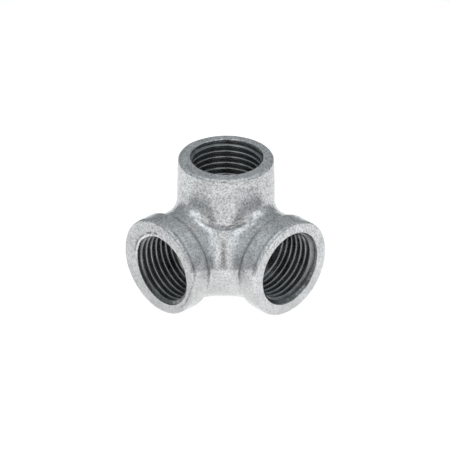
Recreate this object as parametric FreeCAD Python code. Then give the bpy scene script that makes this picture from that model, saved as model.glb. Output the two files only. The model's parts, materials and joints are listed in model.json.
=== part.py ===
import FreeCAD, Part
import math
import os

from FreeCAD import Vector

# Three-way side-outlet elbow in galvanised malleable iron, with three Rp 1/2 female sockets.
# Millimetres. The origin is the crossing of the three socket axes, and +Z points out of the
# upright socket. The two run sockets point along +X and -Y.
# Outside sizes are taken over the zinc. Inside, the threads are cut in bare iron.

# ---- pipe thread, ISO 7-1 Rp 1/2 -------------------------------------------------------
THREAD_PITCH = 25.4 / 14
THREAD_MAJOR_RADIUS = 20.955 / 2
THREAD_MINOR_RADIUS = 18.631 / 2
FLANK_ANGLE = 27.5
THREAD_DEPTH = 14.6            # full thread, measured in from the socket's face
TAP_DRILL_DEPTH = 15.2         # the tap's bore runs on a little past the last groove
GROOVE_OVERLAP = 0.12          # how far the groove's cutter stands inside the tap's bore
LEAD_IN_ANGLE = 45.0

# ---- outside of the casting, over the zinc ----------------------------------------------
ZINC_THICKNESS = 0.1
RUN_LENGTH = 25.5              # axes' crossing to the face of each run socket
UPRIGHT_LENGTH = 24.5          # axes' crossing to the face of the upright socket
RUN_TUBE_RADIUS = 12.64
UPRIGHT_TUBE_RADIUS = 13.35
BACK_BALL_RADIUS = 12.3        # rounds off the back of the fitting
TUBE_START = 5.5               # each tube ends in a ball centred this far from the crossing
CROTCH_RADIUS = 8.3            # rounding between the two run tubes
NECK_RADIUS = 2.4              # rounding where the upright tube meets them
BAND_RADIUS = 13.8
BAND_WIDTH = 6.0
BAND_SLOPE_LENGTH = 1.5        # the band's back slopes at 45 degrees
BAND_BACK_ROUNDING = 1.2
RIM_ROUNDING = 0.9

# ---- inside of the casting, over the zinc -----------------------------------------------
WATERWAY_RADIUS = 9.0
CHAMBER_RADIUS = 9.9
BORE_END_RUN_IN = 0.2          # how far the tap bore's conical end runs into the waterway

# ---- how finely the blended body is described -------------------------------------------
RINGS = 72                     # from the front of the body to its back
SECTORS = 144                  # around the line from front to back
SURFACE_DEGREE = 3
FAR_OUTSIDE = 60.0
BISECTIONS = 34

# ---- how the cutters are made --------------------------------------------------------------
PAST_FACE = 1.0                # every cutter runs on past the face that it opens
MOUTH_PLUG_DEPTH = 2.0         # the zinc's mouth is cleared to this depth
JOINING_TOLERANCE = 1e-4
SAME_PLACE = 1e-6

ORIGIN = Vector(0, 0, 0)
Z_AXIS = Vector(0, 0, 1)
RIGHT_RUN = Vector(1, 0, 0)
LEFT_RUN = Vector(0, -1, 0)
UPRIGHT = Vector(0, 0, 1)

# Each socket: the way it points, crossing to face, and the radius of its lead-in at the face.
SOCKETS = (
    (RIGHT_RUN, RUN_LENGTH, 10.6),
    (LEFT_RUN, RUN_LENGTH, 10.6),
    (UPRIGHT, UPRIGHT_LENGTH, 10.5),
)


def point_along(shape, direction):
    """The shape, drawn along +Z, turned so that its +Z runs along the direction."""
    turned = shape.copy()
    turned.Placement = FreeCAD.Placement(ORIGIN, FreeCAD.Rotation(Z_AXIS, direction)) * shape.Placement
    return turned


def only_solid(shape):
    """The one solid of a boolean's result."""
    if len(shape.Solids) != 1:
        raise RuntimeError("expected one solid, got %d" % len(shape.Solids))
    return shape.Solids[0]


# ---- the blended body --------------------------------------------------------------------

def tube_distance(point, direction, radius):
    """Distance outside an endless round tube that starts with a ball near the crossing."""
    along = max(point.dot(direction), TUBE_START)
    return (point - direction * along).Length - radius


def rounded_union(distances, rounding):
    """Distance outside several forms together, with the corners between them filled round."""
    filled = sum(max(rounding - distance, 0.0) ** 2 for distance in distances)
    return max(rounding, min(distances)) - math.sqrt(filled)


def body_distance(point):
    """Distance outside the cast body, without its bands, and with stubs that run into them."""
    run = rounded_union(
        (
            tube_distance(point, RIGHT_RUN, RUN_TUBE_RADIUS),
            tube_distance(point, LEFT_RUN, RUN_TUBE_RADIUS),
        ),
        CROTCH_RADIUS,
    )
    body = rounded_union(
        (
            run,
            tube_distance(point, UPRIGHT, UPRIGHT_TUBE_RADIUS),
            point.Length - BACK_BALL_RADIUS,
        ),
        NECK_RADIUS,
    )
    run_stub = RUN_LENGTH - BAND_WIDTH / 2
    upright_stub = UPRIGHT_LENGTH + BAND_WIDTH / 2
    return max(
        body,
        point.dot(RIGHT_RUN) - run_stub,
        point.dot(LEFT_RUN) - run_stub,
        point.dot(UPRIGHT) - upright_stub,
    )


def surface_point(direction, skin):
    """Where a ray from the crossing leaves the body, moved out by skin."""
    near = 0.0
    far = FAR_OUTSIDE
    for _ in range(BISECTIONS):
        middle = (near + far) / 2
        if body_distance(direction * middle) < skin:
            near = middle
        else:
            far = middle
    return direction * near


def clamped_knots(count, degree):
    """Knots and multiplicities of an open, evenly spaced spline with this many poles."""
    knots = [float(k) for k in range(count - degree + 1)]
    multiplicities = [degree + 1] + [1] * (len(knots) - 2) + [degree + 1]
    return knots, multiplicities


def blended_body(skin):
    """The body as one smooth surface, drawn in rings about the line between its sockets."""
    front = (RIGHT_RUN + LEFT_RUN + UPRIGHT).normalize()
    across = front.cross(UPRIGHT).normalize()
    other = front.cross(across).normalize()
    poles = []
    for ring in range(RINGS + 1):
        tilt = math.pi * ring / RINGS
        row = []
        for sector in range(SECTORS):
            turn = 2 * math.pi * sector / SECTORS
            sideways = across * math.cos(turn) + other * math.sin(turn)
            direction = front * math.cos(tilt) + sideways * math.sin(tilt)
            row.append(surface_point(direction, skin))
        poles.append(row)
    ring_knots, ring_mults = clamped_knots(RINGS + 1, SURFACE_DEGREE)
    sector_knots = [float(k) for k in range(SECTORS + 1)]
    sector_mults = [1] * (SECTORS + 1)
    surface = Part.BSplineSurface()
    surface.buildFromPolesMultsKnots(
        poles, ring_mults, sector_mults, ring_knots, sector_knots,
        False, True, SURFACE_DEGREE, SURFACE_DEGREE,
    )
    solid = Part.makeSolid(Part.makeShell([surface.toShape()]))
    if solid.Volume < 0:
        solid.reverse()
    return solid


# ---- bands and end faces -----------------------------------------------------------------

def circle_edges(shape, radius, height):
    """The shape's round edges of this radius about +Z at this height."""
    found = []
    for edge in shape.Edges:
        if edge.Curve.TypeId != "Part::GeomCircle":
            continue
        same_radius = abs(edge.Curve.Radius - radius) < SAME_PLACE
        if same_radius and abs(edge.Curve.Center.z - height) < SAME_PLACE:
            found.append(edge)
    return found


def band(length, skin):
    """The thicker collar at a run socket's mouth, drawn along +Z."""
    face = length + skin
    crest = BAND_RADIUS + skin
    slope_top = length - BAND_WIDTH + BAND_SLOPE_LENGTH - skin
    slope_foot = slope_top - 2 * BAND_SLOPE_LENGTH
    foot = crest - 2 * BAND_SLOPE_LENGTH
    outline = Part.makePolygon([
        Vector(0, 0, slope_foot),
        Vector(foot, 0, slope_foot),
        Vector(crest, 0, slope_top),
        Vector(crest, 0, face),
        Vector(0, 0, face),
        Vector(0, 0, slope_foot),
    ])
    solid = Part.Face(outline).revolve(ORIGIN, Z_AXIS, 360)
    solid = solid.makeFillet(BAND_BACK_ROUNDING + skin, circle_edges(solid, crest, slope_top))
    return solid.makeFillet(RIM_ROUNDING + skin, circle_edges(solid, crest, face))


def outside(skin):
    """The whole fitting as a full solid, moved out by skin from the zinc's surface."""
    body = blended_body(skin)
    for direction, length, _ in SOCKETS[:2]:
        body = body.fuse(point_along(band(length, skin), direction))
    reach = 2 * FAR_OUTSIDE
    top = UPRIGHT_LENGTH + skin
    below_face = Part.makeBox(reach, reach, reach, Vector(-FAR_OUTSIDE, -FAR_OUTSIDE, top - reach))
    body = only_solid(body.common(below_face))
    rim = [edge for edge in body.Edges if edge.BoundBox.ZMin > top - JOINING_TOLERANCE]
    return only_solid(body.makeFillet(RIM_ROUNDING + skin, rim))


# ---- waterway ----------------------------------------------------------------------------

def waterway(skin):
    """The cast passages: a bore up each socket, and the round chamber where they meet."""
    passage = Part.makeSphere(CHAMBER_RADIUS + skin)
    for direction, length, _ in SOCKETS:
        bore = Part.makeCylinder(WATERWAY_RADIUS + skin, length + PAST_FACE)
        passage = passage.fuse(point_along(bore, direction))
    return only_solid(passage)


# ---- threads -----------------------------------------------------------------------------

def half_turned(shape, times):
    """The shape screwed on by this many half turns of the thread."""
    moved = shape.copy()
    moved.rotate(ORIGIN, Z_AXIS, 180 * times)
    moved.translate(Z_AXIS * (THREAD_PITCH / 2 * times))
    return moved


def groove_half_turn():
    """Half a turn of the thread's groove, with 55 degree flanks and a flat root."""
    slope = math.tan(math.radians(FLANK_ANGLE))
    sharp_height = THREAD_PITCH / 2 / slope
    root_half_width = sharp_height / 6 * slope
    inner_radius = THREAD_MINOR_RADIUS - GROOVE_OVERLAP
    inner_half_width = root_half_width + (THREAD_MAJOR_RADIUS - inner_radius) * slope
    section = Part.makePolygon([
        Vector(inner_radius, 0, -inner_half_width),
        Vector(THREAD_MAJOR_RADIUS, 0, -root_half_width),
        Vector(THREAD_MAJOR_RADIUS, 0, root_half_width),
        Vector(inner_radius, 0, inner_half_width),
        Vector(inner_radius, 0, -inner_half_width),
    ])
    helix = Part.makeHelix(THREAD_PITCH, THREAD_PITCH / 2, THREAD_MAJOR_RADIUS)
    sweep = Part.BRepOffsetAPI.MakePipeShell(Part.Wire(helix.Edges))
    sweep.setFrenetMode(True)
    sweep.add(section)
    sweep.build()
    sweep.makeSolid()
    return sweep.shape()


def groove(length):
    """The whole helical groove of one socket, drawn along +Z, open past the socket's face."""
    half_pitch = THREAD_PITCH / 2
    bottom = length - THREAD_DEPTH + half_pitch
    turns = math.ceil((THREAD_DEPTH + THREAD_PITCH) / half_pitch)
    first = groove_half_turn()
    first.translate(Z_AXIS * bottom)
    return first.multiFuse([half_turned(first, turn) for turn in range(1, turns)], JOINING_TOLERANCE)


def tap_bore(length):
    """The smooth bore at the thread's crests, as two half cylinders, and its conical end."""
    floor = length - TAP_DRILL_DEPTH
    depth = TAP_DRILL_DEPTH + PAST_FACE
    half = Part.makeCylinder(THREAD_MINOR_RADIUS, depth, Z_AXIS * floor, Z_AXIS, 180)
    other = half.copy()
    other.rotate(ORIGIN, Z_AXIS, 180)
    step = THREAD_MINOR_RADIUS - WATERWAY_RADIUS + BORE_END_RUN_IN
    end = Part.makeCone(THREAD_MINOR_RADIUS - step, THREAD_MINOR_RADIUS, step, Z_AXIS * (floor - step))
    return half.fuse([other, end])


def lead_in(length, mouth_radius):
    """The cone that opens the mouth of a socket."""
    slope = math.tan(math.radians(LEAD_IN_ANGLE))
    depth = (mouth_radius - THREAD_MINOR_RADIUS + PAST_FACE) * slope
    bottom_radius = THREAD_MINOR_RADIUS - PAST_FACE
    top_radius = mouth_radius + PAST_FACE
    height = (top_radius - bottom_radius) * slope
    return Part.makeCone(bottom_radius, top_radius, height, Z_AXIS * (length - depth))


# ---- the pieces --------------------------------------------------------------------------

def mouth_cutters():
    """What tapping takes out of the end faces and bores: lead-in and crest bore, per socket."""
    cutters = []
    for direction, length, mouth_radius in SOCKETS:
        cutters.append(point_along(lead_in(length, mouth_radius), direction))
        cutters.append(point_along(tap_bore(length), direction))
    return cutters


def iron_casting(iron_outside):
    """The malleable iron body, bored through and threaded."""
    casting = iron_outside.cut(waterway(ZINC_THICKNESS))
    for cutter in mouth_cutters():
        casting = casting.cut(cutter)
    for direction, length, _ in SOCKETS:
        casting = casting.cut(point_along(groove(length), direction))
    return only_solid(casting)


def zinc_outer_coat(iron_outside):
    """The galvanised layer over the whole outside, up to the lead-in of each mouth."""
    coat = outside(0.0).cut(iron_outside)
    for cutter in mouth_cutters():
        coat = coat.cut(cutter)
    for direction, length, mouth_radius in SOCKETS:
        height = MOUTH_PLUG_DEPTH + PAST_FACE
        plug = Part.makeCylinder(mouth_radius, height, Z_AXIS * (length - MOUTH_PLUG_DEPTH))
        coat = coat.cut(point_along(plug, direction))
    return only_solid(coat)


def zinc_waterway_coat():
    """The galvanised layer inside, which tapping leaves only between the three threads."""
    coat = waterway(ZINC_THICKNESS).cut(waterway(0.0))
    for cutter in mouth_cutters():
        coat = coat.cut(cutter)
    return only_solid(coat)


def main():
    os.makedirs("parts", exist_ok=True)
    iron_outside = outside(-ZINC_THICKNESS)
    pieces = {
        "iron_casting": iron_casting(iron_outside),
        "zinc_outer_coat": zinc_outer_coat(iron_outside),
        "zinc_waterway_coat": zinc_waterway_coat(),
    }
    for name, shape in pieces.items():
        box = shape.BoundBox
        print(name, "valid", shape.isValid(), "faces", len(shape.Faces), "mm3 %.1f" % shape.Volume)
        print("  x %.2f %.2f  y %.2f %.2f  z %.2f %.2f"
              % (box.XMin, box.XMax, box.YMin, box.YMax, box.ZMin, box.ZMax))
        shape.exportStep("parts/%s.step" % name)


main()
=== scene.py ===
import json
import math
from typing import NamedTuple

import bpy
import numpy as np
from mathutils import Matrix, Vector, noise

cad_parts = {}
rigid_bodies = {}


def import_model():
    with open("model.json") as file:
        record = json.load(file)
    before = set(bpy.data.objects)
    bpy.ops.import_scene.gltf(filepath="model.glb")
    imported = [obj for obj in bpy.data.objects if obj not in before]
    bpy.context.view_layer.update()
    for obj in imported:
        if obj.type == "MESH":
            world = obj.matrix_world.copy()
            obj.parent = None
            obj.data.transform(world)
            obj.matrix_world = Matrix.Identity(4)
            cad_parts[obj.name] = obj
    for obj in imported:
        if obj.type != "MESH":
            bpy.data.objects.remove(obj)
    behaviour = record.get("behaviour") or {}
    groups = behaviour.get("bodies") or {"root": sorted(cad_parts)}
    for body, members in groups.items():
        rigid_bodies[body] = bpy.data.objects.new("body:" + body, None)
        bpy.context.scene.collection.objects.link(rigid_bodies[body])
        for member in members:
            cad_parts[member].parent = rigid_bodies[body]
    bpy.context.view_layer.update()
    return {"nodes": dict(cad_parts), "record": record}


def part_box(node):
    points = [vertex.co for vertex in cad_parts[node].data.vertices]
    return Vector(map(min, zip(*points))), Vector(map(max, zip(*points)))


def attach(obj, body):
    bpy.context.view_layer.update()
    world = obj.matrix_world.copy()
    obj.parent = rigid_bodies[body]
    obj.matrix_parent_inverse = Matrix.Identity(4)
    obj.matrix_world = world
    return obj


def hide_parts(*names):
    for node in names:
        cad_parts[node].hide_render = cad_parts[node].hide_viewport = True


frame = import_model()

# Lengths are millimetres, as on the casting's drawing, and every mesh is scaled to metres.
MM = 0.001

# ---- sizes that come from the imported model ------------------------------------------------
mounts = {mount["name"]: mount for mount in frame["record"]["mounts"]}
coat_low, coat_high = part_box("zinc_outer_coat")
RUN_LENGTH = coat_high.x / MM
UPRIGHT_LENGTH = coat_high.z / MM
BAND_RADIUS = coat_high.y / MM
MINOR_RADIUS = mounts["upright_thread"]["dims"]["r_mm"]
LINING_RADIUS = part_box("zinc_waterway_coat")[1].y / MM

# ---- outside of the casting, over the zinc ------------------------------------------------
VISIBLE_COAT = 0.2             # the grain and the folds are cut into this much zinc
RUN_TUBE_RADIUS = 12.64
UPRIGHT_TUBE_RADIUS = 13.35
UPRIGHT_DRAFT = 0.027          # the upright narrows by this much per mm of height
DRAFT_FROM = 17.5              # height at which the upright has its nominal radius
DRAFT_BELOW = 8.0              # the draft goes on this far below that height
BACK_BALL_RADIUS = 12.3
TUBE_START = 5.5
CROTCH_RADIUS = 8.3
CROTCH_LEAST_RADIUS = 4.5
CROTCH_TAPER = 0.29            # the crotch's radius shrinks by this much per mm of height
CROTCH_TAPER_EASE = 0.5
NECK_RADIUS = 2.4
NECK_FRONT_RADIUS = 0.8
NECK_BEARINGS = (8, 36)        # between these bearings one neck radius turns into the other
BAND_WIDTH = 6.05
BAND_BACK_ANGLE = 62.0
BAND_FOOT_ROUNDING = 0.55
BAND_BACK_ROUNDING = 0.8
RIM_ROUNDING = 0.9
BAND_RIM_ROUNDING = 0.6

# ---- waterway, in the iron ------------------------------------------------------------------
ZINC_THICKNESS = 0.1
PASSAGE_RADIUS = 9.0 + ZINC_THICKNESS
CHAMBER_RADIUS = LINING_RADIUS + ZINC_THICKNESS     # clear of the lining by its own thickness

# ---- pipe thread, Rp 1/2 ------------------------------------------------------------------
PITCH = 25.4 / 14
MAJOR_RADIUS = 20.955 / 2
FLANK_ANGLE = 27.5
THREAD_DEPTH = 14.6
TAP_DRILL_DEPTH = 15.2
RUN_OUT_TURNS = 1.6
CREST_ROUNDING = 0.1
ROOT_ROUNDING = 0.08
LEAD_ROUNDING = 0.04
MOUTH_FLARE = 0.4              # slope of the cutting tool outside the face
NOISE_RING = 9                 # radius of the circle in the noise that makes a mouth ragged
PLUG_REACH = 1.2               # how far the tool stands out of the face

# ---- how finely the surfaces are made -------------------------------------------------------
SKIN_VOXEL = 0.30
CORE_VOXEL = 0.60
LATHE_SECTORS = 128
BALL_RINGS = 48
CHAMBER_RINGS = 64
THREAD_SECTORS = 160
ROWS_PER_PITCH = 18
BLANK_INSET = 0.3              # the rough rods are this much thinner than the collars
BLANK_GAP = 0.05               # and this much shorter than the sockets
BLANK_BACK = -4.0
SLOPE_STEP = 0.02
SETTLE_ROUNDS = 6
LEAST_SQUARE = 0.05            # a step onto the surface is divided by at least this
SHARP_EDGE = math.radians(38)

# ---- marks left by the mould, the zinc bath and the tap, and painted highlights and shade ----
# Ranges of four are: nothing before the first, full from the second to the third, nothing after
# the fourth. Bearings and angles are in degrees.
CAST_WAVES = ((0.09, 7.5, 1), (0.045, 2.8, 2))       # height, wavelength and seed
GRAIN_WAVES = ((0.03, 1.3, 3), (0.017, 0.75, 4))
GRAIN_LOW = 0.5                # share of the grain's height on the underside
GRAIN_RISE = 0.35              # and this much more above the underside
GRAIN_TOP_RISE = 0.45          # and this much more again on the upright
CROTCH_SMOOTHING = 0.45        # share of the grain that the crotch lacks
FACE_GRAIN = 0.45              # share of the grain on the end faces
MIDDLE_BEARING = 1.0           # the crotch's middle is this far off the true front
CREASE_RADIUS = 13.9           # from the upright's axis, round its foot
CREASE_HALF_WIDTH = 0.5
CREASE_DEPTH = 0.32
CREASE_BEARINGS = (-33, -24, 29, 38)
LIP_RADIUS = 15.1
LIP_HALF_WIDTH = 0.95
LIP_HEIGHT = 0.36
LIP_SIDES = (4, 10, 30, 38)
FOLD_HALF_WIDTH = 0.3
FOLD_DEPTH = 0.17
FOLD_START = -1.25             # behind the collar's front corner, and above 0 is on the face
FOLD_DIP = 2.3                 # lower down, the left collar's fold moves this far on
BURR_OUT = 0.35                # from the mouth's edge
BURR_HALF_WIDTH = 0.25
BURR_HEIGHT = 0.08
SCRATCH_OUT = 0.95
SCRATCH_HALF_WIDTH = 0.35
SCRATCH_DEPTH = 0.12
TORN_ANGLES = (-8, 8, 84, 100)
# Painted highlights, brightening the zinc where glints fall round the upright's foot, above and
# below the crease.
UPPER_GLINT = 1.1
UPPER_GLINT_RADIUS = 14.4       # from the upright's axis
UPPER_GLINT_HALF_WIDTH = 1.0
UPPER_GLINT_SIDES = (17, 24, 39, 47)
LOWER_GLINT = 0.5
LOWER_GLINT_RADIUS = 15.8
LOWER_GLINT_HALF_WIDTH = 0.7
LOWER_GLINT_SIDES = (6, 11, 26, 34)
GLINT_HEIGHTS = (7.8, 9.0, 14, 15)
# Painted shade, darkening the zinc: behind the collars, low down beside them and on the left
# socket's end face.
SHADE_BEHIND_BAND = 0.55        # from the collar's back to the middle of the painted shade
SHADE_HALF_WIDTH = 0.4
LOW_SHADE_BEHIND = 1.2
LOW_SHADE_HALF_WIDTH = 1.2
LOW_SHADE_HEIGHTS = (-2, 1, 4, 8)
DULL_MOUTH = (0.7, 1.7)        # depths between which the dull mouth gives way to the thread's painted crest highlights
LEFT_FACE_SHADE = 0.18              # painted shade: the left socket's end face is darker than the others

RIGHT_RUN = np.array([1.0, 0.0, 0.0])
LEFT_RUN = np.array([0.0, -1.0, 0.0])
UPRIGHT = np.array([0.0, 0.0, 1.0])


class Socket(NamedTuple):
    """One threaded socket."""
    direction: np.ndarray
    length: float                  # from the crossing of the axes to the face
    mouth_radius: float
    lead_depth: float              # how deep the cone at the mouth goes
    off_centre: tuple              # how far the bore is off the socket's own axis
    burr: float                    # how ragged the mouth is


SOCKETS = {
    "right": Socket(RIGHT_RUN, RUN_LENGTH, 10.65, 2.0, (0.0, 0.0, 0.0), 0.05),
    "left": Socket(LEFT_RUN, RUN_LENGTH, 9.7, 0.7, (1.15, 0.0, -0.2), 0.14),
    "upright": Socket(UPRIGHT, UPRIGHT_LENGTH, 10.1, 1.3, (-0.19, 0.53, 0.0), 0.07),
}


# ---- places on the casting ------------------------------------------------------------------

def fade(value, low, high):
    """0 below low and 1 above high, eased between."""
    part = np.clip((value - low) / (high - low), 0.0, 1.0)
    return part * part * (3 - 2 * part)


def between(value, start, full, last_full, end):
    """1 from full to last_full, eased to 0 at start and at end."""
    return fade(value, start, full) * fade(end - value, 0, end - last_full)


def softly_above(value, floor, softness):
    """The larger of value and floor, with the corner between them rounded."""
    return floor + softness * np.logaddexp(0, (value - floor) / softness)


def front_coordinates(points):
    """Distance forward between the runs, and the bearing from there in degrees."""
    forward = (points[:, 0] - points[:, 1]) / math.sqrt(2)
    sideways = (points[:, 0] + points[:, 1]) / math.sqrt(2)
    return forward, np.degrees(np.arctan2(sideways, forward))


def around(points, direction):
    """How far along a socket's axis each point is, and how far from it."""
    along = points @ direction
    return along, np.linalg.norm(points - along[:, None] * direction, axis=1)


# ---- distance fields of the casting -------------------------------------------------------

def tube(points, direction, radius):
    """Distance outside an endless tube that starts with a ball."""
    along = np.maximum(points @ direction, TUBE_START)
    return np.linalg.norm(points - along[:, None] * direction, axis=1) - radius


def rounded_union(distances, rounding):
    """Forms together, with the corners between them filled round."""
    stack = np.stack(distances)
    filled = np.maximum(rounding - stack, 0.0)
    return np.maximum(rounding, stack.min(0)) - np.sqrt((filled ** 2).sum(0))


def rounded_cut(distances, rounding):
    """What all forms share, with its outer corners rounded."""
    return -rounded_union([-distance for distance in distances], rounding)


def band(points, direction):
    """The collar at a run socket's mouth."""
    along, radial = around(points, direction)
    angle = math.radians(BAND_BACK_ANGLE)
    side = radial - BAND_RADIUS
    behind = RUN_LENGTH - BAND_WIDTH - along
    back = behind * math.sin(angle) + side * math.cos(angle)
    return rounded_cut(
        [rounded_cut([side, back], BAND_BACK_ROUNDING), along - RUN_LENGTH], BAND_RIM_ROUNDING
    )


def casting(points):
    """Distance outside the zinc, with every socket still closed."""
    height = points @ UPRIGHT
    crotch_radius = CROTCH_RADIUS - CROTCH_TAPER * softly_above(height, 0.0, CROTCH_TAPER_EASE)
    run = rounded_union(
        [
            tube(points, RIGHT_RUN, RUN_TUBE_RADIUS),
            tube(points, LEFT_RUN, RUN_TUBE_RADIUS),
        ],
        np.clip(crotch_radius, CROTCH_LEAST_RADIUS, CROTCH_RADIUS),
    )
    _, bearing = front_coordinates(points)
    neck_radius = NECK_FRONT_RADIUS + (NECK_RADIUS - NECK_FRONT_RADIUS) * fade(
        np.abs(bearing), *NECK_BEARINGS
    )
    ball = np.linalg.norm(points, axis=1) - BACK_BALL_RADIUS
    upright = tube(points, UPRIGHT, UPRIGHT_TUBE_RADIUS)
    upright = upright + UPRIGHT_DRAFT * np.maximum(height - DRAFT_FROM, -DRAFT_BELOW)
    body = rounded_union([run, upright, ball], neck_radius)
    stub = RUN_LENGTH - BAND_WIDTH / 2
    body = np.maximum(body, points @ RIGHT_RUN - stub)
    body = np.maximum(body, points @ LEFT_RUN - stub)
    body = rounded_cut([body, height - UPRIGHT_LENGTH], RIM_ROUNDING)
    return rounded_union(
        [body, band(points, RIGHT_RUN), band(points, LEFT_RUN)], BAND_FOOT_ROUNDING
    )


def gradient(field, points):
    """Slope of a distance field, by central differences."""
    slopes = []
    for axis in np.eye(3):
        rise = field(points + axis * SLOPE_STEP) - field(points - axis * SLOPE_STEP)
        slopes.append(rise / (2 * SLOPE_STEP))
    return np.stack(slopes, axis=1)


def settle(field, points):
    """Points moved onto the field's surface, and the outward normals there."""
    for _ in range(SETTLE_ROUNDS):
        slope = gradient(field, points)
        square = np.maximum((slope ** 2).sum(1), LEAST_SQUARE)
        points = points - (field(points) / square)[:, None] * slope
    slope = gradient(field, points)
    return points, slope / np.linalg.norm(slope, axis=1)[:, None]


# ---- what the mould, the zinc bath and the tap leave on the surface ---------------------------

def noise_at(points, wavelength, seed):
    """Smooth noise, about -1 to 1, with features of a wavelength in mm."""
    shift = Vector((seed * 17.3, seed * 5.1, seed * 29.7))
    return np.array([noise.noise(Vector(p) / wavelength + shift) for p in points])


def waves(points, parts):
    """Layers of noise together, from the height, the wavelength and the seed of each."""
    return sum(height * noise_at(points, wavelength, seed) for height, wavelength, seed in parts)


def ridge(distance, half_width):
    """A soft ridge of height 1, by distance from its middle."""
    return np.exp(-(distance / half_width) ** 2)


def off_middle(points):
    """How many degrees to either side of the crotch's middle each point is."""
    return np.abs(front_coordinates(points)[1] - MIDDLE_BEARING)


def crease(points):
    """The line where the upright's foot meets the runs, on the front: 0 to 1."""
    _, bearing = front_coordinates(points)
    _, radial = around(points, UPRIGHT)
    wander = 0.12 * noise_at(points, 3.0, 11)
    where = between(bearing, *CREASE_BEARINGS) * fade(points[:, 2], 8.6, 9.6)
    strength = np.clip(0.75 + 0.6 * noise_at(points, 2.2, 14), 0.35, 1)
    return ridge(radial - CREASE_RADIUS + wander, CREASE_HALF_WIDTH) * where * strength


def lips(points):
    """The rounded edge of the runs below the crease, which catches the light."""
    _, radial = around(points, UPRIGHT)
    where = between(off_middle(points), *LIP_SIDES) * fade(points[:, 2], 7.6, 9.2)
    strength = 0.85 + 0.6 * noise_at(points, 1.6, 15)
    return ridge(radial - LIP_RADIUS, LIP_HALF_WIDTH) * where * strength


def fold_line(points):
    """The thin fold in the zinc along the collars' rims, on the sides that face each other."""
    folds = np.zeros(len(points))
    for direction, across, dip, strength, angles in (
        (LEFT_RUN, RIGHT_RUN, FOLD_DIP, 1.0, (-58, -40, 64, 76)),
        (RIGHT_RUN, LEFT_RUN, 0.0, 0.6, (5, 18, 64, 76)),
    ):
        along, radial = around(points, direction)
        angle = np.degrees(np.arctan2(points[:, 2], points @ across))
        place = (along - RUN_LENGTH) + (BAND_RADIUS - radial)
        path = FOLD_START + dip * fade(-angle, -22, 18) + 0.22 * noise_at(points, 2.5, 13)
        span = between(angle, *angles) * (radial > 11.5) * (along > 20)
        folds = np.maximum(folds, strength * span * ridge(place - path, FOLD_HALF_WIDTH))
    return folds


def torn_edge(points):
    """The left mouth's edge away from the other run: its burr, which gets a painted highlight, and
    its scratch, which gets painted shade.
    """
    socket = SOCKETS["left"]
    offset = points - np.array(socket.off_centre)
    along, radial = around(offset, socket.direction)
    angle = np.degrees(np.arctan2(offset[:, 2], -offset[:, 0]))
    where = between(angle, *TORN_ANGLES) * (along > socket.length - 0.5)
    outside = radial - socket.mouth_radius + 0.12 * noise_at(points, 1.1, 51)
    patchy = np.clip(0.8 + 1.2 * noise_at(points, 1.3, 52), 0, 1)
    burr = ridge(outside - BURR_OUT, BURR_HALF_WIDTH) * where * patchy
    scratch = ridge(outside - SCRATCH_OUT, SCRATCH_HALF_WIDTH) * where * patchy
    return burr, scratch


def cast_height(points):
    """Height of the casting's own unevenness, which the zinc follows."""
    height = waves(points, CAST_WAVES)
    return height + (LIP_HEIGHT * lips(points) - CREASE_DEPTH * crease(points))


def grain_strength(points):
    """How rough the zinc is: smooth on the end faces and in the crotch, rough on the upright."""
    height = points[:, 2]
    strength = GRAIN_LOW + GRAIN_RISE * fade(height, -6, 4) + GRAIN_TOP_RISE * fade(height, 10, 14)
    forward, bearing = front_coordinates(points)
    along_runs = np.maximum(points @ RIGHT_RUN, points @ LEFT_RUN)
    crotch = fade(forward, 7, 11) * fade(34 - np.abs(bearing), 0, 8) * fade(19 - along_runs, 0, 2)
    strength = strength * (1 - CROTCH_SMOOTHING * crotch * fade(10.5 - height, 0, 2))
    for socket in SOCKETS.values():
        on_face = points @ socket.direction > socket.length - 0.3
        strength = np.where(on_face, FACE_GRAIN, strength)
    return strength


def zinc_height(points):
    """Height of the grain, the folds and the torn edge, which are in the zinc alone."""
    grain = waves(points, GRAIN_WAVES)
    burr, scratch = torn_edge(points)
    height = grain * grain_strength(points) + BURR_HEIGHT * burr - SCRATCH_DEPTH * scratch
    return height - FOLD_DEPTH * fold_line(points)


# ---- mesh helpers -------------------------------------------------------------------------

def new_object(name, vertices_mm, faces):
    mesh = bpy.data.meshes.new(name)
    mesh.from_pydata((np.asarray(vertices_mm) * MM).tolist(), [], faces)
    mesh.update()
    made = bpy.data.objects.new(name, mesh)
    bpy.context.scene.collection.objects.link(made)
    return made


def get_points(thing):
    """The mesh's vertices, in mm."""
    flat = np.empty(len(thing.data.vertices) * 3)
    thing.data.vertices.foreach_get("co", flat)
    return flat.reshape(-1, 3) / MM


def set_points(thing, points):
    thing.data.vertices.foreach_set("co", (points * MM).ravel())
    thing.data.update()


def turn_to(direction):
    """Rotation that carries +Z to the direction."""
    return np.array(Vector((0, 0, 1)).rotation_difference(Vector(direction)).to_matrix())


def apply_modifiers(thing):
    depsgraph = bpy.context.evaluated_depsgraph_get()
    mesh = bpy.data.meshes.new_from_object(thing.evaluated_get(depsgraph))
    old = thing.data
    thing.modifiers.clear()
    thing.data = mesh
    bpy.data.meshes.remove(old)


def discard(thing):
    mesh = thing.data
    bpy.data.objects.remove(thing)
    bpy.data.meshes.remove(mesh)


def combine(target, tool, operation):
    """Joins or cuts the target with a tool."""
    boolean = target.modifiers.new(operation, "BOOLEAN")
    boolean.operation = operation
    boolean.solver = "MANIFOLD"
    boolean.object = tool
    apply_modifiers(target)


def new_ball(radius, sectors, rings):
    bpy.ops.mesh.primitive_uv_sphere_add(
        segments=sectors, ring_count=rings, radius=radius * MM
    )
    return bpy.context.object


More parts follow.
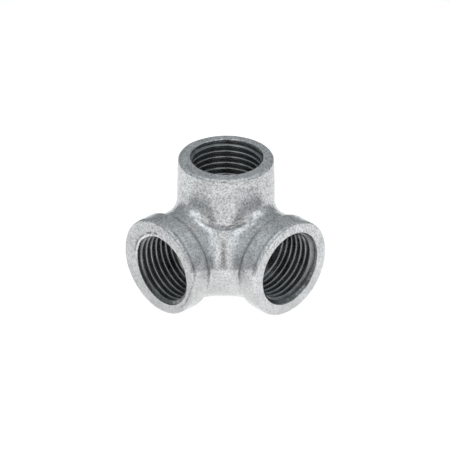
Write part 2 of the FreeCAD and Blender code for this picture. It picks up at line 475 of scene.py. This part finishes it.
def lathe(name, outline, sectors, direction=(0, 0, 1)):
    """A closed solid turned about +Z from (radius, height) pairs, then turned to a direction."""
    vertices = [(0, 0, outline[0][1])]
    for radius, height in outline:
        for sector in range(sectors):
            angle = 2 * math.pi * sector / sectors
            vertices.append((radius * math.cos(angle), radius * math.sin(angle), height))
    vertices.append((0, 0, outline[-1][1]))
    faces = []
    last = len(vertices) - 1
    top = 1 + (len(outline) - 1) * sectors
    for sector in range(sectors):
        following = (sector + 1) % sectors
        faces.append((0, 1 + following, 1 + sector))
        faces.append((last, top + sector, top + following))
        for ring in range(len(outline) - 1):
            low = 1 + ring * sectors
            high = low + sectors
            faces.append((low + sector, low + following, high + following, high + sector))
    points = np.array(vertices) @ turn_to(direction).T
    return new_object(name, points, faces)


def rod(name, radius, start, end, sectors, direction=(0, 0, 1)):
    """A closed round rod along a direction."""
    return lathe(name, [(radius, start), (radius, end)], sectors, direction)


def casting_mesh(name, voxel):
    """The closed casting as an even mesh on the field's surface, with its points and normals."""
    radius = BAND_RADIUS - BLANK_INSET
    blanks = [
        rod("blank", radius, BLANK_BACK, socket.length - BLANK_GAP, LATHE_SECTORS, socket.direction)
        for socket in SOCKETS.values()
    ]
    blanks.append(new_ball(BACK_BALL_RADIUS, 2 * BALL_RINGS, BALL_RINGS))
    for thing in bpy.context.scene.objects:
        thing.select_set(thing in blanks)
    bpy.context.view_layer.objects.active = blanks[0]
    bpy.ops.object.join()
    blank = bpy.context.object
    blank.name = name
    remesh = blank.modifiers.new("even", "REMESH")
    remesh.mode = "VOXEL"
    remesh.voxel_size = voxel * MM
    apply_modifiers(blank)
    points, normals = settle(casting, get_points(blank))
    return blank, points, normals


def finish_mesh(thing, name, material):
    thing.name = name
    thing.data.name = name
    thing.data.materials.clear()
    thing.data.materials.append(material)
    thing.data.shade_smooth()
    thing.data.set_sharp_from_angle(angle=SHARP_EDGE)


# ---- threads --------------------------------------------------------------------------------

def thread_radius(phase):
    """Radius of the rounded thread, by its phase in pitches from a crest's middle."""
    across = np.abs((phase + 0.5) % 1.0 - 0.5) * PITCH
    slope = 1 / math.tan(math.radians(FLANK_ANGLE))
    flank = (MAJOR_RADIUS + MINOR_RADIUS) / 2 + (across - PITCH / 4) * slope
    crested = softly_above(flank, MINOR_RADIUS, CREST_ROUNDING)
    return -softly_above(-crested, -MAJOR_RADIUS, ROOT_ROUNDING)


def lead_in(socket, level, turn):
    """Radius of the ragged cone that opens a bore's mouth, by level and by turn in radians."""
    circle = np.stack([np.cos(turn), np.sin(turn), np.zeros(len(turn))], axis=1) * NOISE_RING
    ragged = socket.burr * noise_at(circle, 0.9, 21 + socket.length + socket.mouth_radius)
    ragged = ragged + socket.burr * noise_at(
        circle, 3.0, 22 + socket.length + socket.mouth_radius
    )
    slope = (socket.mouth_radius - MINOR_RADIUS) / socket.lead_depth
    cone = socket.mouth_radius + ragged[None, :] - np.maximum(socket.length - level, 0) * slope
    return cone + np.maximum(level - socket.length, 0) * MOUTH_FLARE


def thread_surface(socket):
    """The points of one tapped bore, in rows that climb by a pitch in each turn."""
    bottom = socket.length - TAP_DRILL_DEPTH
    height = socket.length + PLUG_REACH + PITCH - bottom
    row = np.arange(int(math.ceil(height / PITCH * ROWS_PER_PITCH)) + ROWS_PER_PITCH + 1)
    angle = np.arange(THREAD_SECTORS) / THREAD_SECTORS
    level = bottom - PITCH + (row[:, None] / ROWS_PER_PITCH + angle[None, :]) * PITCH
    phase = np.broadcast_to(row[:, None] / ROWS_PER_PITCH, level.shape)
    run_out = RUN_OUT_TURNS * PITCH
    deepening = np.clip((level - (socket.length - THREAD_DEPTH)) / run_out, 0, 1)
    radius = MINOR_RADIUS + (thread_radius(phase) - MINOR_RADIUS) * deepening
    turn = angle * 2 * math.pi
    radius = softly_above(radius, lead_in(socket, level, turn), LEAD_ROUNDING)
    return np.stack([radius * np.cos(turn), radius * np.sin(turn), level], axis=2)


def helix_index(row, sector):
    """A point's number. After a whole turn the helix meets the row that is a pitch above."""
    if sector == THREAD_SECTORS:
        return (row + ROWS_PER_PITCH) * THREAD_SECTORS
    return row * THREAD_SECTORS + sector


def helix_loop(row):
    """The closed edge of a helical surface at a row: once round, then down the step."""
    once_round = [helix_index(row, sector) for sector in range(THREAD_SECTORS)]
    return once_round + [helix_index(row + step, 0) for step in range(ROWS_PER_PITCH, 0, -1)]


def thread_plug(name, socket):
    """Everything that tapping takes out of one socket, as a closed solid."""
    surface = thread_surface(socket)
    points = surface.reshape(-1, 3)
    top_row = len(surface) - 1 - ROWS_PER_PITCH
    faces = []
    for row in range(top_row):
        for sector in range(THREAD_SECTORS):
            faces.append((
                helix_index(row, sector),
                helix_index(row, sector + 1),
                helix_index(row + 1, sector + 1),
                helix_index(row + 1, sector),
            ))
    low_centre = len(points)
    low_level = socket.length - TAP_DRILL_DEPTH - PITCH / 2
    high_level = points[:, 2].max() + 0.5
    points = np.vstack([points, (0, 0, low_level), (0, 0, high_level)])
    low_loop = helix_loop(0)
    for here, following in zip(low_loop, low_loop[1:] + low_loop[:1]):
        faces.append((low_centre, following, here))
    high_loop = helix_loop(top_row)
    for here, following in zip(high_loop, high_loop[1:] + high_loop[:1]):
        faces.append((low_centre + 1, here, following))
    keep = sorted({corner for face in faces for corner in face})
    renumber = {old: new for new, old in enumerate(keep)}
    faces = [tuple(renumber[corner] for corner in face) for face in faces]
    points = points[keep] @ turn_to(socket.direction).T + np.array(socket.off_centre)
    return new_object(name, points, faces)


def waterway_solid():
    """The cast passages and the chamber where they meet, out to the iron."""
    chamber = new_ball(CHAMBER_RADIUS, 2 * CHAMBER_RINGS, CHAMBER_RINGS)
    for socket in SOCKETS.values():
        end = socket.length - TAP_DRILL_DEPTH + 1.0
        bore = rod("bore", PASSAGE_RADIUS, 0.0, end, LATHE_SECTORS, socket.direction)
        combine(chamber, bore, "UNION")
        discard(bore)
    return chamber


# ---- materials --------------------------------------------------------------------------------

class Nodes:
    """Short ways to build a node tree."""

    def __init__(self, tree, coordinates):
        self.tree = tree
        self.place = self.add("ShaderNodeTexCoord").outputs[coordinates]

    def add(self, kind, **settings):
        node = self.tree.nodes.new(kind)
        for key, value in settings.items():
            setattr(node, key, value)
        return node

    def link(self, source, target):
        self.tree.links.new(source, target)

    def noise(self, wavelength_mm, detail=2.0):
        """Noise, mostly 0.3 to 0.7."""
        node = self.add("ShaderNodeTexNoise")
        self.link(self.place, node.inputs["Vector"])
        node.inputs["Scale"].default_value = 1 / (wavelength_mm * MM)
        node.inputs["Detail"].default_value = detail
        return node.outputs["Fac"]

    def ramp(self, source, span, result, shape="LINEAR"):
        """Takes a span of the source to a span of results, and holds its ends beyond."""
        node = self.add("ShaderNodeMapRange", interpolation_type=shape)
        self.link(source, node.inputs["Value"])
        sockets = ("From Min", "From Max", "To Min", "To Max")
        for socket, value in zip(sockets, (*span, *result)):
            node.inputs[socket].default_value = value
        return node.outputs["Result"]

    def math(self, operation, first, second):
        node = self.add("ShaderNodeMath", operation=operation)
        for socket, value in zip(node.inputs, (first, second)):
            if isinstance(value, (int, float)):
                socket.default_value = value
            else:
                self.link(value, socket)
        return node.outputs["Value"]

    def chain(self, operation, values):
        """One operation over all the values, from the first to the last."""
        result = values[0]
        for value in values[1:]:
            result = self.math(operation, result, value)
        return result

    def vector(self, operation, first, second):
        """A number from a vector and a fixed vector."""
        node = self.add("ShaderNodeVectorMath", operation=operation)
        self.link(first, node.inputs[0])
        node.inputs[1].default_value = second
        return node.outputs["Value"]

    def tint(self, value, colour):
        """A grey value times a colour."""
        node = self.add("ShaderNodeMix", data_type="RGBA", blend_type="MULTIPLY")
        node.inputs["Factor"].default_value = 1.0
        self.link(value, node.inputs[6])
        node.inputs[7].default_value = (*colour, 1)
        return node.outputs[2]

    def layer(self, name):
        """A point attribute of the mesh, 0 to 1."""
        return self.add("ShaderNodeAttribute", attribute_name=name).outputs["Fac"]

    def bump(self, height, distance_mm):
        node = self.add("ShaderNodeBump")
        node.inputs["Distance"].default_value = distance_mm * MM
        self.link(height, node.inputs["Height"])
        return node.outputs["Normal"]


def new_material(name):
    material = bpy.data.materials.new(name)
    material.use_nodes = True
    nodes = Nodes(material.node_tree, "Object")
    return material, nodes, material.node_tree.nodes["Principled BSDF"].inputs


def zinc_material(name, brightness):
    """Hot-dip zinc: blotched and specked, with painted shade in its creases and painted highlights
    where glints fall round the upright's foot and on the burr.
    """
    material, nodes, shader = new_material(name)
    height = nodes.vector("DOT_PRODUCT", nodes.place, (0, 0, 1))
    blotch = nodes.ramp(nodes.noise(5.0, 3.0), (0.35, 0.65), (0.92, 1.06))
    contrast = nodes.ramp(height, (-0.004, 0.014), (0.45, 1.0))
    speck = nodes.ramp(nodes.noise(0.55, 2.0), (0.32, 0.62), (-0.4, 0.24))
    speck = nodes.math("ADD", nodes.math("MULTIPLY", speck, contrast), 1.0)
    # Painted shade from its point layer darkens the zinc; painted highlights from theirs brighten
    # it.
    painted_shade = nodes.ramp(nodes.layer("painted_shade"), (0.0, 1.0), (1.0, 0.2))
    painted_glint = nodes.ramp(nodes.layer("painted_glint"), (0.0, 1.0), (1.0, 1.62))
    grey = nodes.chain("MULTIPLY", (blotch, speck, painted_shade, painted_glint, brightness))
    nodes.link(nodes.tint(grey, (0.99, 1.0, 1.0)), shader["Base Color"])
    rough = nodes.ramp(nodes.noise(1.6, 3.0), (0.3, 0.7), (0.13, 0.25))
    duller_above = nodes.ramp(height, (0.010, 0.014), (0.0, 0.12))
    nodes.link(nodes.math("ADD", rough, duller_above), shader["Roughness"])
    shader["Metallic"].default_value = 0.76
    nodes.link(nodes.bump(nodes.noise(0.5, 2.0), 0.035), shader["Normal"])
    return material


def cut_iron_material():
    """Tapped iron: painted shade makes it dark and dull in the thread's roots, and painted
    highlights make it brighter metal on its crests.
    """
    material, nodes, shader = new_material("cut iron")
    # painted shade in the roots and painted highlights on the crests, from the point layer
    painted_thread_light_and_flecks = nodes.ramp(nodes.layer("painted_thread_light_and_flecks"), (0.0, 0.85), (0.13, 0.26))
    stain = nodes.ramp(nodes.noise(2.5, 3.0), (0.3, 0.7), (0.75, 1.25))
    grey = nodes.math("MULTIPLY", painted_thread_light_and_flecks, stain)
    nodes.link(nodes.tint(grey, (0.94, 1.0, 1.0)), shader["Base Color"])
    rough = nodes.ramp(nodes.noise(1.2, 2.0), (0.3, 0.7), (0.18, 0.32))
    nodes.link(rough, shader["Roughness"])
    metallic = nodes.ramp(nodes.layer("painted_thread_light_and_flecks"), (0.0, 1.0), (0.65, 0.95))
    nodes.link(metallic, shader["Metallic"])
    nodes.link(nodes.bump(nodes.noise(0.8, 2.0), 0.008), shader["Normal"])
    return material


def add_layer(thing, name, values):
    layer = thing.data.attributes.new(name, "FLOAT", "POINT")
    layer.data.foreach_set("value", np.clip(values, 0, 1).astype(np.float32))


def add_painted_thread_light(thing):
    """Marks the threads for painted light: painted shade in their roots, painted highlights on
    their crests that are weaker at the mouths, and bright flecks at the mouths.
    """
    points = get_points(thing)
    painted_thread_light_and_flecks = np.zeros(len(points))
    for socket in SOCKETS.values():
        along, radial = around(points - np.array(socket.off_centre), socket.direction)
        tapped = (along > socket.length - TAP_DRILL_DEPTH + 0.5)
        tapped = tapped & (radial < socket.mouth_radius + 0.5)
        # painted shade in the roots and painted highlight on the crests
        crest = np.clip((MAJOR_RADIUS - radial) / (MAJOR_RADIUS - MINOR_RADIUS), 0, 1)
        at_mouth = 1 - fade(socket.length - along, *DULL_MOUTH)
        dulled = 1 - at_mouth * (0.75 + 0.5 * noise_at(points, 0.8, 42))
        flecks = np.clip(4 * noise_at(points, 0.55, 44) - 0.8, 0, 1) * at_mouth
        painted_thread_light_and_flecks = np.maximum(painted_thread_light_and_flecks, (crest * dulled + flecks) * tapped)
    add_layer(thing, "painted_thread_light_and_flecks", painted_thread_light_and_flecks)


def add_painted_glints(thing):
    """Marks painted highlights round the upright's foot, where glints fall, and on the burr."""
    points = get_points(thing)
    _, radial = around(points, UPRIGHT)
    side = off_middle(points)
    upper = ridge(radial - UPPER_GLINT_RADIUS, UPPER_GLINT_HALF_WIDTH)
    upper = upper * between(side, *UPPER_GLINT_SIDES)
    lower = ridge(radial - LOWER_GLINT_RADIUS, LOWER_GLINT_HALF_WIDTH)
    lower = lower * between(side, *LOWER_GLINT_SIDES)
    painted_glint = (UPPER_GLINT * upper + LOWER_GLINT * lower) * between(points[:, 2], *GLINT_HEIGHTS)
    painted_glint = painted_glint * (0.9 + 1.2 * noise_at(points, 1.1, 43))
    burr, _ = torn_edge(points)
    add_layer(thing, "painted_glint", np.maximum(painted_glint, burr))


def add_painted_shade(thing):
    """Marks painted shade: in the folds and the crease, behind the collars, low down beside them,
    in the scratch and on the left socket's end face.
    """
    points = get_points(thing)
    # painted shade in the folds and in the crease round the upright's foot
    painted_shade = np.maximum(0.9 * fold_line(points), 0.6 * crease(points))
    low_down = between(points[:, 2], *LOW_SHADE_HEIGHTS)
    for direction in (RIGHT_RUN, LEFT_RUN):
        along, radial = around(points, direction)
        off_shade = along - (RUN_LENGTH - BAND_WIDTH - SHADE_BEHIND_BAND)
        on_body = radial < BAND_RADIUS + 1
        # painted shade in the step behind each collar
        shade_behind_band = 0.5 * ridge(off_shade, SHADE_HALF_WIDTH) * on_body
        # painted shade low down beside each collar
        low_shade = 0.3 * ridge(off_shade + LOW_SHADE_BEHIND, LOW_SHADE_HALF_WIDTH) * on_body * low_down
        painted_shade = np.maximum(np.maximum(painted_shade, shade_behind_band), low_shade)
    painted_shade = painted_shade * (0.8 + 0.4 * noise_at(points, 1.3, 31))
    # painted shade in the scratch's groove and on the left socket's end face
    _, scratch = torn_edge(points)
    left_face = fade(points @ LEFT_RUN, RUN_LENGTH - 0.4, RUN_LENGTH - 0.2)
    painted_shade = np.maximum(painted_shade, np.maximum(scratch, LEFT_FACE_SHADE * left_face))
    add_layer(thing, "painted_shade", painted_shade)


# ---- the fitting ------------------------------------------------------------------------------

def build_fitting():
    skin, points, normals = casting_mesh("skin", SKIN_VOXEL)
    height = cast_height(points) + zinc_height(points)
    set_points(skin, points + normals * height[:, None])

    core, points, normals = casting_mesh("core", CORE_VOXEL)
    height = cast_height(points) - VISIBLE_COAT
    set_points(core, points + normals * height[:, None])

    combine(skin, core, "DIFFERENCE")
    for side, socket in SOCKETS.items():
        plug = thread_plug("plug_" + side, socket)
        combine(skin, plug, "DIFFERENCE")
        combine(core, plug, "DIFFERENCE")
        discard(plug)
    water = waterway_solid()
    combine(core, water, "DIFFERENCE")
    discard(water)

    finish_mesh(skin, "galvanised_skin", zinc_material("galvanised zinc", brightness=0.61))
    # painted shade and painted highlights on the zinc, as point layers
    add_painted_shade(skin)
    add_painted_glints(skin)
    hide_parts("zinc_outer_coat")
    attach(skin, "root")

    finish_mesh(core, "tapped_iron", cut_iron_material())
    # painted shade and highlights on the threads, as a point layer
    add_painted_thread_light(core)
    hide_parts("iron_casting")
    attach(core, "root")

    lining = frame["nodes"]["zinc_waterway_coat"]
    lining.data.materials.clear()
    lining.data.materials.append(zinc_material("zinc inside", brightness=0.5))


# ---- camera, floor and light ------------------------------------------------------------------

AZIMUTH = math.radians(46.2)
ELEVATION = math.radians(30.4)
ROLL = math.radians(0.09)
CAMERA_DISTANCE = 670.0
PIXELS_PER_MM = 3.59
FRAME_PIXELS = 450
SENSOR_WIDTH = 36
AIM_UP = 2.61
AIM_LEFT = 0.24

FLOOR_RADIUS = 3000.0
FLOOR_THICKNESS = 2.0
FLOOR_SECTORS = 64
FLOOR_GREY = 0.45
# The floor glows: a painted pool of light round the fitting, raised in front of it.
BRIGHT_BEHIND = 34.0           # the glow's middle is this far behind the fitting
BRIGHT_RADIUS = 155.0
DIM_RADIUS = 200.0
BRIGHT_GLOW = 0.78
DIM_GLOW = 0.25
FRONT_BOOST = 1.22             # the glow rises to this much of itself in front of the fitting
FRONT_START = 30.0
FRONT_FULL = 70.0

STUDIO_COLOUR = (0.93, 1.0, 1.04, 1)
LAMP_COLOUR = (1.0, 0.99, 1.0, 1)
LAMP_BEARINGS = (-20, 36)
PANEL_SOFTNESS = 5.0

# Panels of light round the fitting, the same to either side of the camera. Bearings are from the
# camera's, and both those and the elevations are in degrees. A panel has one radiance for each
# elevation, from the lowest.
ELEVATIONS = ((-20, 20), (20, 45), (45, 65))
PANELS = {
    "gap": ((-20, 9), (0.25, 0.08, 0.3)),
    "front": ((9, 36), (0.9, 1.25, 1.1)),
    "side": ((36, 75), (0.36, 0.7, 1.1)),
    "flank": ((75, 125), (0.4, 0.58, 0.66)),
    "back": ((125, 200), (0.25, 0.39, 0.49)),
}
CEILING = (65, 110)


def direction_from(azimuth, elevation):
    """Unit vector from the fitting towards a bearing, 0 at -Y and turning towards +X."""
    return Vector((
        math.sin(azimuth) * math.cos(elevation),
        -math.cos(azimuth) * math.cos(elevation),
        math.sin(elevation),
    ))


def make_camera():
    back = direction_from(AZIMUTH, ELEVATION)
    right = Vector((math.cos(AZIMUTH), math.sin(AZIMUTH), 0))
    up = back.cross(right)
    aim = (up * AIM_UP - right * AIM_LEFT) * MM
    turn = Matrix.Rotation(ROLL, 3, back)
    data = bpy.data.cameras.new("camera")
    data.sensor_width = SENSOR_WIDTH
    data.lens = SENSOR_WIDTH * PIXELS_PER_MM * CAMERA_DISTANCE / FRAME_PIXELS
    made = bpy.data.objects.new("camera", data)
    bpy.context.scene.collection.objects.link(made)
    made.location = aim + back * CAMERA_DISTANCE * MM
    made.rotation_mode = "QUATERNION"
    facing = Matrix((turn @ right, turn @ up, back)).transposed()
    made.rotation_quaternion = facing.to_quaternion()
    bpy.context.scene.camera = made


def angle_window(nodes, angle, limits):
    """1 between two limits in degrees and 0 outside, with soft edges."""
    soft = math.radians(PANEL_SOFTNESS)
    low, high = (math.radians(limit) for limit in limits)
    rise = nodes.ramp(angle, (low - soft, low + soft), (0.0, 1.0), "SMOOTHSTEP")
    fall = nodes.ramp(angle, (high - soft, high + soft), (0.0, 1.0), "SMOOTHSTEP")
    return nodes.math("SUBTRACT", rise, fall)


def make_world():
    """The studio round the fitting, as soft-edged panels of light."""
    world = bpy.data.worlds.new("studio")
    bpy.context.scene.world = world
    world.use_nodes = True
    nodes = Nodes(world.node_tree, "Generated")
    height = nodes.vector("DOT_PRODUCT", nodes.place, (0, 0, 1))
    forward = nodes.vector("DOT_PRODUCT", nodes.place, direction_from(AZIMUTH, 0))
    sideways = nodes.vector("DOT_PRODUCT", nodes.place, direction_from(AZIMUTH + math.pi / 2, 0))
    bearing = nodes.math("ARCTAN2", nodes.math("ABSOLUTE", sideways, 0), forward)
    elevation = nodes.math("ARCSINE", height, 0)

    levels = [angle_window(nodes, elevation, limits) for limits in ELEVATIONS]
    lit = [angle_window(nodes, elevation, CEILING)]
    for bearings, radiances in PANELS.values():
        column = [nodes.math("MULTIPLY", *pair) for pair in zip(levels, radiances)]
        column = nodes.chain("ADD", column)
        lit.append(nodes.math("MULTIPLY", angle_window(nodes, bearing, bearings), column))
    background = world.node_tree.nodes["Background"].inputs
    nodes.link(nodes.chain("ADD", lit), background["Strength"])

    colour = nodes.add("ShaderNodeMix", data_type="RGBA")
    nodes.link(angle_window(nodes, bearing, LAMP_BEARINGS), colour.inputs["Factor"])
    colour.inputs[6].default_value = STUDIO_COLOUR
    colour.inputs[7].default_value = LAMP_COLOUR
    nodes.link(colour.outputs[2], background["Color"])


def make_floor():
    """A plain pale floor that glows, with a painted pool of light round the fitting, brightest in
    front of it.
    """
    height = coat_low.z / MM
    floor = rod("floor", FLOOR_RADIUS, height - FLOOR_THICKNESS, height, FLOOR_SECTORS)
    material, nodes, shader = new_material("floor")
    towards_camera = direction_from(AZIMUTH, 0)
    away = nodes.vector("DISTANCE", nodes.place, towards_camera * -(BRIGHT_BEHIND * MM))
    edge = (BRIGHT_RADIUS * MM, DIM_RADIUS * MM)
    # painted pool of light: the floor's own glow, strongest round the fitting
    glow = nodes.ramp(away, edge, (BRIGHT_GLOW, DIM_GLOW), "SMOOTHSTEP")
    forward = nodes.vector("DOT_PRODUCT", nodes.place, towards_camera)
    boost = nodes.ramp(forward, (FRONT_START * MM, FRONT_FULL * MM), (1.0, FRONT_BOOST))
    nodes.link(nodes.math("MULTIPLY", glow, boost), shader["Emission Strength"])
    shader["Emission Color"].default_value = (1, 1, 1, 1)
    shader["Base Color"].default_value = (FLOOR_GREY, FLOOR_GREY, FLOOR_GREY, 1)
    shader["Roughness"].default_value = 0.9
    floor.data.materials.append(material)


make_camera()
build_fitting()
make_world()
make_floor()
bpy.context.scene.view_settings.view_transform = "Standard"
